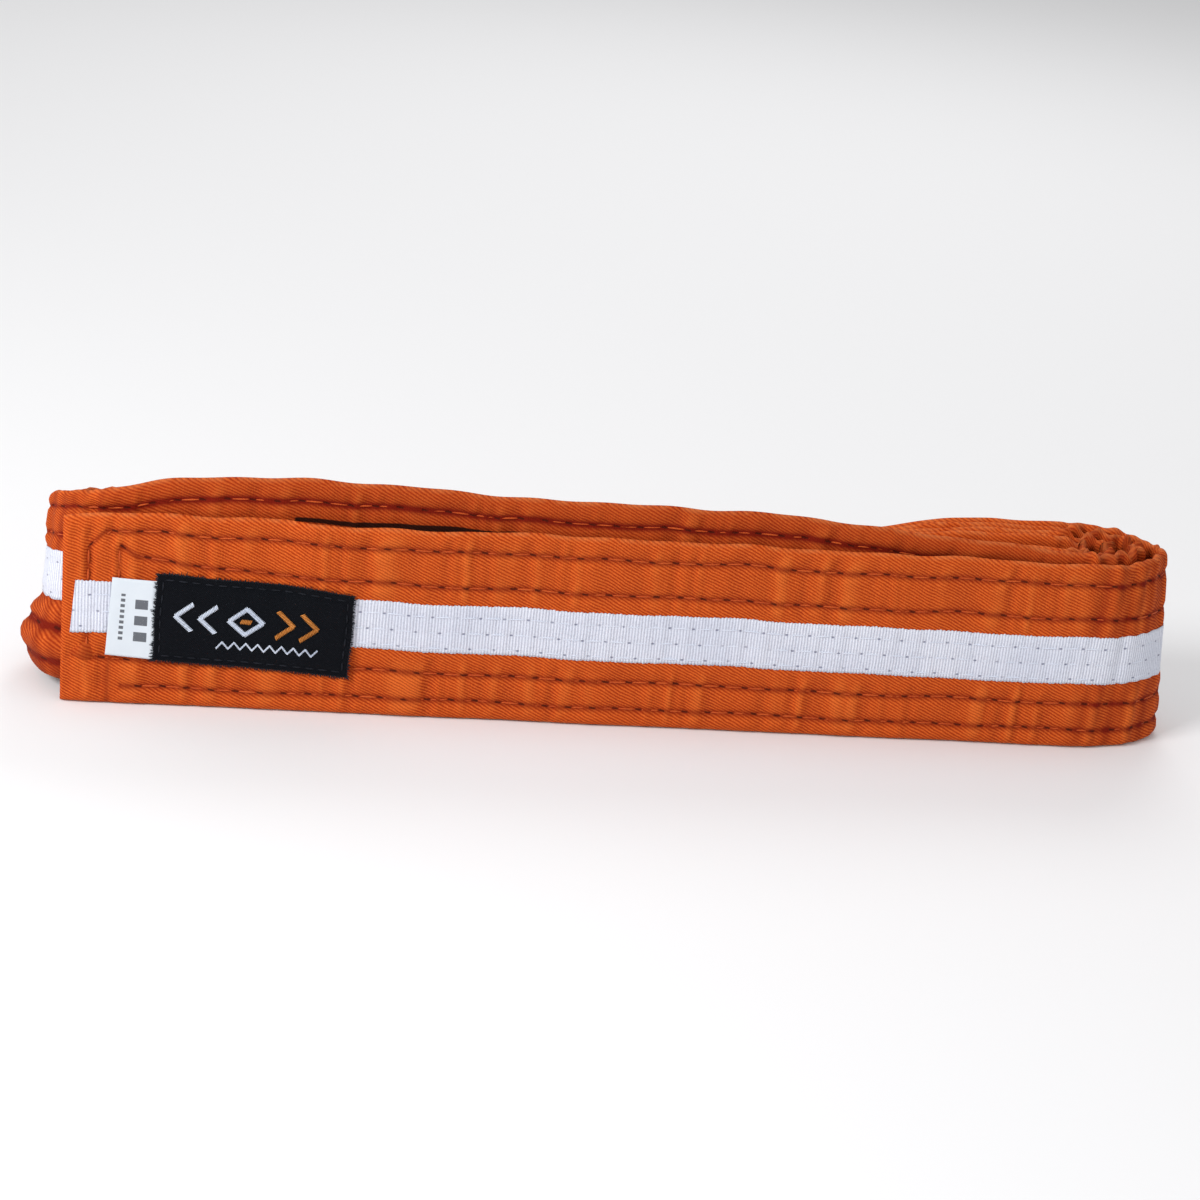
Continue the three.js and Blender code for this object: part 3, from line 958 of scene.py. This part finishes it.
# %% The tree that lays threads
def tree_of_threads():
    tree = bpy.data.node_groups.new("lay_threads", "GeometryNodeTree")
    for name, kind in (("Places", "Geometry"), ("Thickness", "Float"), ("Flatness", "Float"),
                       ("Unevenness", "Float"), ("Seed", "Int"), ("Finish", "Material")):
        tree.interface.new_socket(name, in_out="INPUT", socket_type="NodeSocket" + kind)
    tree.interface.new_socket("Threads", in_out="OUTPUT", socket_type="NodeSocketGeometry")

    def add(kind, settings, sockets):
        return new_node(tree, kind, settings, sockets)

    def math_of(operation, first, second):
        return add("ShaderNodeMath", {"operation": operation}, {0: first, 1: second}).outputs[0]

    given = add("NodeGroupInput", {}, {})
    way = add("GeometryNodeInputNamedAttribute", {"data_type": "FLOAT_VECTOR"}, {"Name": "way"})
    way = way.outputs["Attribute"]
    length = add("ShaderNodeVectorMath", {"operation": "LENGTH"}, {0: way}).outputs["Value"]
    turned = add("FunctionNodeAlignRotationToVector", {"axis": "Z"}, {"Vector": way})
    uneven = given.outputs["Unevenness"]
    least, most = math_of("SUBTRACT", 1.0, uneven), math_of("ADD", 1.0, uneven)
    dice = add("FunctionNodeRandomValue", {"data_type": "FLOAT"}, {
        2: least, 3: most, "Seed": given.outputs["Seed"]})
    thick = math_of("MULTIPLY", given.outputs["Thickness"], dice.outputs[1])
    flat = math_of("MULTIPLY", thick, given.outputs["Flatness"])
    size = add("ShaderNodeCombineXYZ", {}, {0: thick, 1: flat, 2: length})
    capsule = add("GeometryNodeMeshUVSphere", {}, {"Segments": 6, "Rings": 5, "Radius": 0.5})
    laid = add("GeometryNodeInstanceOnPoints", {}, {
        "Points": given.outputs["Places"], "Instance": capsule.outputs["Mesh"],
        "Rotation": turned.outputs["Rotation"], "Scale": size.outputs["Vector"]})
    solid = add("GeometryNodeRealizeInstances", {}, {"Geometry": laid.outputs["Instances"]})
    finished = add("GeometryNodeSetMaterial", {}, {
        "Geometry": solid.outputs["Geometry"], "Material": given.outputs["Finish"]})
    add("NodeGroupOutput", {}, {0: finished.outputs["Geometry"]})
    return tree


lay_threads = tree_of_threads()
thread_inputs = {item.name: item.identifier for item in lay_threads.interface.items_tree
                 if item.in_out == "INPUT"}
print("inputs of the tree:", ", ".join(thread_inputs))


# %% One piece of many threads
def thread_piece(name, starts, ends, material, thickness, unevenness=0.12):
    """Threads from each start to its end, in metres, joined in one mesh."""
    places = bpy.data.meshes.new(name + "_places")
    places.from_pydata(((starts + ends) / 2).tolist(), [], [])
    places.attributes.new("way", "FLOAT_VECTOR", "POINT").data.foreach_set(
        "vector", (ends - starts).astype(np.float32).ravel())
    maker = add_object(name + "_places", places)
    modifier = maker.modifiers.new("threads", "NODES")
    modifier.node_group = lay_threads
    values = {"Thickness": thickness * mm, "Flatness": 1.0, "Unevenness": unevenness,
              "Seed": 7, "Finish": material}
    for key, value in values.items():
        modifier[thread_inputs[key]] = value
    bpy.context.view_layer.update()
    finished_maker = maker.evaluated_get(bpy.context.evaluated_depsgraph_get())
    made = bpy.data.meshes.new_from_object(finished_maker)
    maker.modifiers.clear()
    bpy.data.objects.remove(maker)
    made.name = name
    made.shade_smooth()
    return add_object(name, made)


# %% Thread finishes
def thread_finish(name, dark, light, roughness=0.6):
    """Twisted thread: fine slanted strands, a drift of colour and a soft sheen."""
    finish = Finish(name)
    place = finish.object_place()
    drift = finish.noise(place, 90.0, 3.0)
    strand = finish.node("ShaderNodeTexWave", {"bands_direction": "DIAGONAL"}, {
        "Vector": place, "Scale": 900.0, "Distortion": 1.5, "Detail": 1.0})
    strand = Amount(finish, strand.outputs["Fac"])
    colour = finish.mix(drift.between(0.3, 0.7) * 0.6 + strand * 0.4, dark, light)
    bump = finish.bump(strand, 0.05 * mm, 0.5)
    return finish.surface(Base_Color=colour, Roughness=roughness, Normal=bump,
                          Specular_IOR_Level=0.2)


orange_thread = thread_finish("orange_thread", (0.40, 0.050, 0.007, 1), (0.56, 0.095, 0.014, 1))
white_thread = thread_finish("white_thread", (0.60, 0.64, 0.75, 1), (0.70, 0.73, 0.82, 1))
print("2 thread finishes")

# %% Rows of stitches
part_ends = {"end": (0.0, seam_at), "roll": (seam_at, belt_length - 5.0)}
hole_reach = 0.55


def row_of_stitches(start, end, phase):
    """Where each visible thread starts and ends along the belt."""
    first, last = int((start - phase) / stitch) - 1, int((end - phase) / stitch) + 2
    holes = phase + stitch * np.arange(first, last)
    keep = (holes > start - 0.3) & (holes + stitch < end + 0.3)
    return holes[keep] + hole_reach, holes[keep] + stitch - hole_reach


def sew(name, part, side, holes, height, skin, material, thickness, nodes):
    """Sews one row: height and skin say where the thread lies at each place."""
    starts, ends = [lay(place, height(place), side * (skin(place, height(place)) + 0.02))
                    for place in holes]
    piece = thread_piece(name, starts, ends, material, thickness)
    dress(piece, part, nodes)
    return len(starts)


sewn_stitches = 0
for part, (start, end) in part_ends.items():
    for face, side in (("face", 1), ("back", -1)):
        for row in rows:
            holes = row_of_stitches(max(start, row_starts[row]), end, row_phases[row])
            sewn_stitches += sew("%s_%s_%s_row" % (part, face, row), part, side, holes,
                                 lambda s: row_height(row, s),
                                 lambda s, h: relief(s, h, side) - 0.02, orange_thread, 0.42,
                                 ["%s_%s_thread_%s" % (part, face, row)])
        for row, level in ribbon_rows.items():
            holes = row_of_stitches(max(start, 4.0), end, ribbon_row_phases[row])
            sewn_stitches += sew("%s_%s_ribbon_row_%s" % (part, face, row), part, side, holes,
                                 lambda s: ribbon_height(s, level),
                                 lambda s, h: ribbon_skin(s, h) - 0.05, white_thread, 0.32,
                                 ["%s_%s_ribbon_thread_%s" % (part, face, row)])
print(sewn_stitches, "stitches in the rows")

# %% The upright seams at the label end
upright_rows = {"outer": ("outer", 25.4, 33.2), "inner": ("inner", 25.4, 33.2),
                "lower": ("outer", 10.6, 14.8)}
for name, (seam, low, high) in upright_rows.items():
    place = upright_seams[seam][0]
    holes = np.linspace(low, high, max(1, round((high - low) / 3.9)) + 1)
    for face, side in (("face", 1), ("back", -1)):
        skin = cloth_half - 0.12
        starts = lay(place, holes[:-1] + 0.5, side * skin)
        ends = lay(place, holes[1:] - 0.5, side * skin)
        piece = thread_piece("end_%s_upright_%s" % (face, name), starts, ends, orange_thread, 0.5)
        dress(piece, "end", ["end_%s_seam_%s" % (face, name)])
print("6 upright seams")

# %% [markdown]
# ## Label and size tag
#
# A dark woven patch is sewn over the ribbon near the end, a little crooked. Its
# motif is embroidery in white and orange thread, a lozenge between chevrons over
# a thin zigzag. The size tag is a slip of satin caught under the patch's left
# edge, so it lifts like a page.


# %% The patch
def label_finish():
    finish = Finish("label_weave")
    place, along, across, _ = finish.stored("cloth_mm")
    warp = along.ribs(0.42)
    weft = across.ribs(0.36)
    patch = finish.noise(place, 0.5, 4.0)
    fibre = finish.noise(place, 3.5, 3.0)
    colour = finish.mix(patch * 0.5 + fibre * 0.5,
                        (0.0012, 0.0016, 0.0028, 1), (0.0042, 0.0054, 0.0085, 1))
    woven = finish.mix((warp * weft).between(0.1, 0.9) * 0.5, colour, (0.017, 0.020, 0.028, 1))
    lint = finish.mix(fibre.between(0.6, 0.78) * 0.45, woven, (0.04, 0.046, 0.058, 1))
    bump = finish.bump(warp * weft + fibre * 1.4, 0.1 * mm, 1.0)
    return finish.surface(Base_Color=lint, Roughness=0.82, Normal=bump, Sheen_Weight=0.02,
                          Specular_IOR_Level=0.05)


label_black = label_finish()
label_start, label_end = 17.75, 55.5
label_wide, label_tall = 37.7, 17.8


def on_label(u, v):
    """Place on the belt for a share along and up the patch, which sits crooked."""
    along = label_start + (label_end - label_start) * u + 0.45 * (v - 0.5)
    along = along + 0.1 * np.sin(9 * v + 3 * u)
    low = 10.0 - 1.75 * u + 0.25 * np.sin(math.pi * u)
    high = 28.0 - 2.05 * u + 0.3 * np.sin(math.pi * u) + 0.12 * np.sin(11 * u)
    return along, low * (1 - v) + high * v


def label_out(u, v):
    """The patch's outer skin: sewn down near its edges, slightly full in the middle."""
    rim = np.minimum(np.minimum(u * label_wide, (1 - u) * label_wide), np.minimum(v, 1 - v) * label_tall)
    dent = np.exp(-((rim - 1.1) / 0.55) ** 2)
    full = 0.18 * np.sin(math.pi * np.clip(u, 0, 1)) ** 0.5
    full = full * np.sin(math.pi * np.clip(v, 0, 1)) ** 0.5
    ripple = 0.05 * waves(u * label_wide, 31, (5.0, 8.1), v * label_tall, 0.3)
    return cloth_half + 0.78 + full - 0.16 * dent + ripple


def sheet_piece(name, spot, inner, outer, columns, across, material, size):
    """A closed patch: spot places a share along and up it, inner and outer are its skins."""
    u, v = np.meshgrid(np.linspace(0, 1, columns), np.linspace(0, 1, across), indexing="ij")
    s, h = spot(u, v)
    rim = np.minimum(np.minimum(u, 1 - u) * size[0], np.minimum(v, 1 - v) * size[1])
    bevel = 1 - np.sqrt(1 - (1 - np.clip(rim / 0.35, 0, 1)) ** 2)
    middle = (outer(u, v) + inner(u, v)) / 2
    face = outer(u, v) * (1 - 0.7 * bevel) + middle * 0.7 * bevel
    piece = shell(name, s, h, face, inner(u, v), material)
    flat_along, flat_up = u * size[0], v * size[1]
    note(piece, "cloth_mm", round_both(flat_along, flat_along), round_both(flat_up, flat_up))
    return piece


label = sheet_piece("label_patch", on_label, lambda u, v: cloth_half + 0.3, label_out,
                    150, 72, label_black, (label_wide, label_tall))
dress(label, "free_end", ["woven_label"], (label_wide * mm, label_tall * mm))
print("patch", len(label.data.polygons), "faces")


# %% Stitches and fray round the patch
def round_label(inset, pitch):
    """Shares along and up the patch for places on its outline, and the way round it."""
    left, low = inset / label_wide, inset / label_tall
    corners_u = [left, 1 - left, 1 - left, left, left]
    corners_v = [low, low, 1 - low, 1 - low, low]
    u, v = [], []
    for k in range(4):
        size = math.hypot((corners_u[k + 1] - corners_u[k]) * label_wide,
                          (corners_v[k + 1] - corners_v[k]) * label_tall)
        share = np.arange(0, 1 - 1e-6, 1 / max(1, round(size / pitch)))
        u.append(corners_u[k] * (1 - share) + corners_u[k + 1] * share)
        v.append(corners_v[k] * (1 - share) + corners_v[k + 1] * share)
    return np.concatenate(u), np.concatenate(v)


def on_patch(u, v, above=0.0):
    """Metres for a place on the patch's outer skin."""
    s, h = on_label(u, v)
    return lay(s, h, label_out(u, v) + above)


black_thread = thread_finish("black_thread", (0.003, 0.004, 0.007, 1), (0.013, 0.015, 0.022, 1), 0.75)
u, v = round_label(1.1, 2.6)
around = np.stack([np.roll(u, -1) - u, np.roll(v, -1) - v])
starts = on_patch(u + around[0] * 0.14, v + around[1] * 0.14, 0.05)
ends = on_patch(u + around[0] * 0.86, v + around[1] * 0.86, 0.05)
sewing = thread_piece("label_sewing", starts, ends, black_thread, 0.36)
dress(sewing, "free_end", ["label_stitching"])

dice = np.random.default_rng(41)
u, v = round_label(0.15, 0.085)
middle = np.stack([u - 0.5, v - 0.5])
outward = np.stack([np.where(np.abs(middle[0]) > 0.48, np.sign(middle[0]), 0.0),
                    np.where(np.abs(middle[1]) > 0.47, np.sign(middle[1]), 0.0)])
reach = dice.uniform(0.25, 0.75, len(u)) * dice.uniform(0.5, 1.0, len(u))
stray = dice.normal(0, 0.22, (2, len(u)))
tip_u = u + (outward[0] * reach + stray[0]) / label_wide
tip_v = v + (outward[1] * reach + stray[1]) / label_tall
starts, ends = on_patch(u, v, -0.1), on_patch(tip_u, tip_v, -0.12)
fray = thread_piece("label_fray", starts, ends, black_thread, 0.13, 0.4)
dress(fray, "free_end", [])
print(len(u), "frayed ends")

# %% [markdown]
# ### Embroidery
#
# Each stroke of the motif is satin stitch: short threads laid side by side
# across the stroke, so it stands up like a cord. The strokes are straight lines
# between points on the patch, measured in millimetres from its lower left corner.


# %% Strokes into threads
def satin(points, width, pitch, slant=0.35):
    """Starts and ends of the short threads across a stroke, in mm on the patch."""
    points = np.array(points, float)
    starts, ends = [], []
    for first, last in zip(points[:-1], points[1:]):
        way = last - first
        size = np.linalg.norm(way)
        way = way / size
        across = np.array([-way[1], way[0]]) * width / 2 + way * slant * width / 2
        for step in np.arange(0, size + 1e-6, size / max(1, round(size / pitch))):
            starts.append(first + way * step - across)
            ends.append(first + way * step + across)
    return np.array(starts), np.array(ends)


def embroider(name, strokes, width, pitch, material, thickness, above):
    sewn_strokes = [satin(points, width, pitch) for points in strokes]
    starts = np.concatenate([pair[0] for pair in sewn_strokes])
    ends = np.concatenate([pair[1] for pair in sewn_strokes])
    starts, ends = [on_patch(side[:, 0] / label_wide, side[:, 1] / label_tall, above)
                    for side in (starts, ends)]
    piece = thread_piece(name, starts, ends, material, thickness, 0.15)
    dress(piece, "free_end", [])
    print(name, len(starts), "threads")


motif_white = thread_finish("motif_white", (0.42, 0.48, 0.60, 1), (0.70, 0.75, 0.84, 1), 0.45)
motif_orange = thread_finish("motif_orange", (0.34, 0.115, 0.018, 1), (0.58, 0.22, 0.045, 1), 0.45)
middle_up, half_tall = 9.6, 2.7


def chevron(tip_x, reach):
    """A bent stroke whose point is at tip_x and whose arms reach back from it."""
    back_x = tip_x - reach
    return [(back_x, middle_up - half_tall), (tip_x, middle_up), (back_x, middle_up + half_tall)]


lozenge_x, lozenge_reach = 17.4, 3.2
lozenge = [(lozenge_x - lozenge_reach, middle_up), (lozenge_x, middle_up + half_tall),
           (lozenge_x + lozenge_reach, middle_up), (lozenge_x, middle_up - half_tall),
           (lozenge_x - lozenge_reach, middle_up)]
core = [(lozenge_x - 0.9, middle_up), (lozenge_x + 0.9, middle_up)]
embroider("motif_white_strokes", [chevron(4.0, -3.0), chevron(8.6, -3.0), lozenge], 1.05, 0.3,
          motif_white, 0.32, 0.1)
embroider("motif_orange_strokes", [chevron(26.4, 3.0), chevron(31.0, 3.0), core], 1.05, 0.3,
          motif_orange, 0.32, 0.1)
zigzag = [(12.0 + 1.15 * k, 3.7 + 1.4 * (k % 2)) for k in range(18)]
embroider("motif_white_zigzag", [zigzag], 0.42, 0.16, motif_white, 0.17, 0.06)


# %% The size tag
def tag_finish():
    finish = Finish("satin_tag")
    place, along, across, _ = finish.stored("cloth_mm")
    broad = finish.noise(place, 0.25, 2.0)
    fine = finish.noise(place, 3.0, 2.0)
    floats = across.ribs(0.3)
    base = finish.mix(broad, (0.61, 0.665, 0.73, 1), (0.70, 0.75, 0.80, 1))
    inside = across.between(3.4, 3.5) * (1 - across.between(13.2, 13.3))
    wide_bar = (along - 6.4).size().between(1.25, 1.35)
    blocks = ((across - 3.4) / 3.4).fraction()
    bars = (1 - wide_bar) * inside * (1 - (blocks - 0.32).size().between(0.28, 0.3))
    thin = 1 - (along - 2.6).size().between(0.4, 0.48)
    dashes = ((across - 3.4) / 1.15).fraction()
    small = thin * inside * (1 - (dashes - 0.4).size().between(0.26, 0.3))
    printed = (bars + small) * fine.between(0.2, 0.35)
    colour = finish.mix(printed * 0.9, base, (0.045, 0.05, 0.065, 1))
    bump = finish.bump(floats * 0.5 + fine * 0.5, 0.02 * mm, 0.5)
    return finish.surface(Base_Color=colour, Roughness=0.42, Normal=bump, Sheen_Weight=0.1,
                          Specular_IOR_Level=0.45)


tag_start, tag_wide, tag_tall = 8.5, 10.6, 16.4


def on_tag(u, v):
    along = tag_start + tag_wide * u + v * (1 - u)
    return along, (10.9 - 0.95 * u) * (1 - v) + (10.9 + tag_tall - 0.95 * u) * v


def tag_skin(lift):
    def skin(u, v):
        curl = 0.22 * (1 - u) ** 2 + 0.1 * np.sin(math.pi * v) * (1 - u)
        under = np.clip((u - 0.8) / 0.1, 0, 1)
        return cloth_half + 0.36 + (curl + 0.12) * (1 - under) - 0.02 * under + lift
    return skin


satin_white = tag_finish()
tag = sheet_piece("satin_size_tag", on_tag, tag_skin(-0.06), tag_skin(0.06), 40, 44,
                  satin_white, (tag_wide, tag_tall))
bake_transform(tag)
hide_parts("size_tag")
print("tag", len(tag.data.polygons), "faces")

# %% Sizes, and the end
visual_low, visual_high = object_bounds()
grown = [round((a - b) / mm, 1) for a, b in zip(visual_high - visual_low, cad_high - cad_low)]
print("the looks are bigger than the CAD box by", grown, "mm")
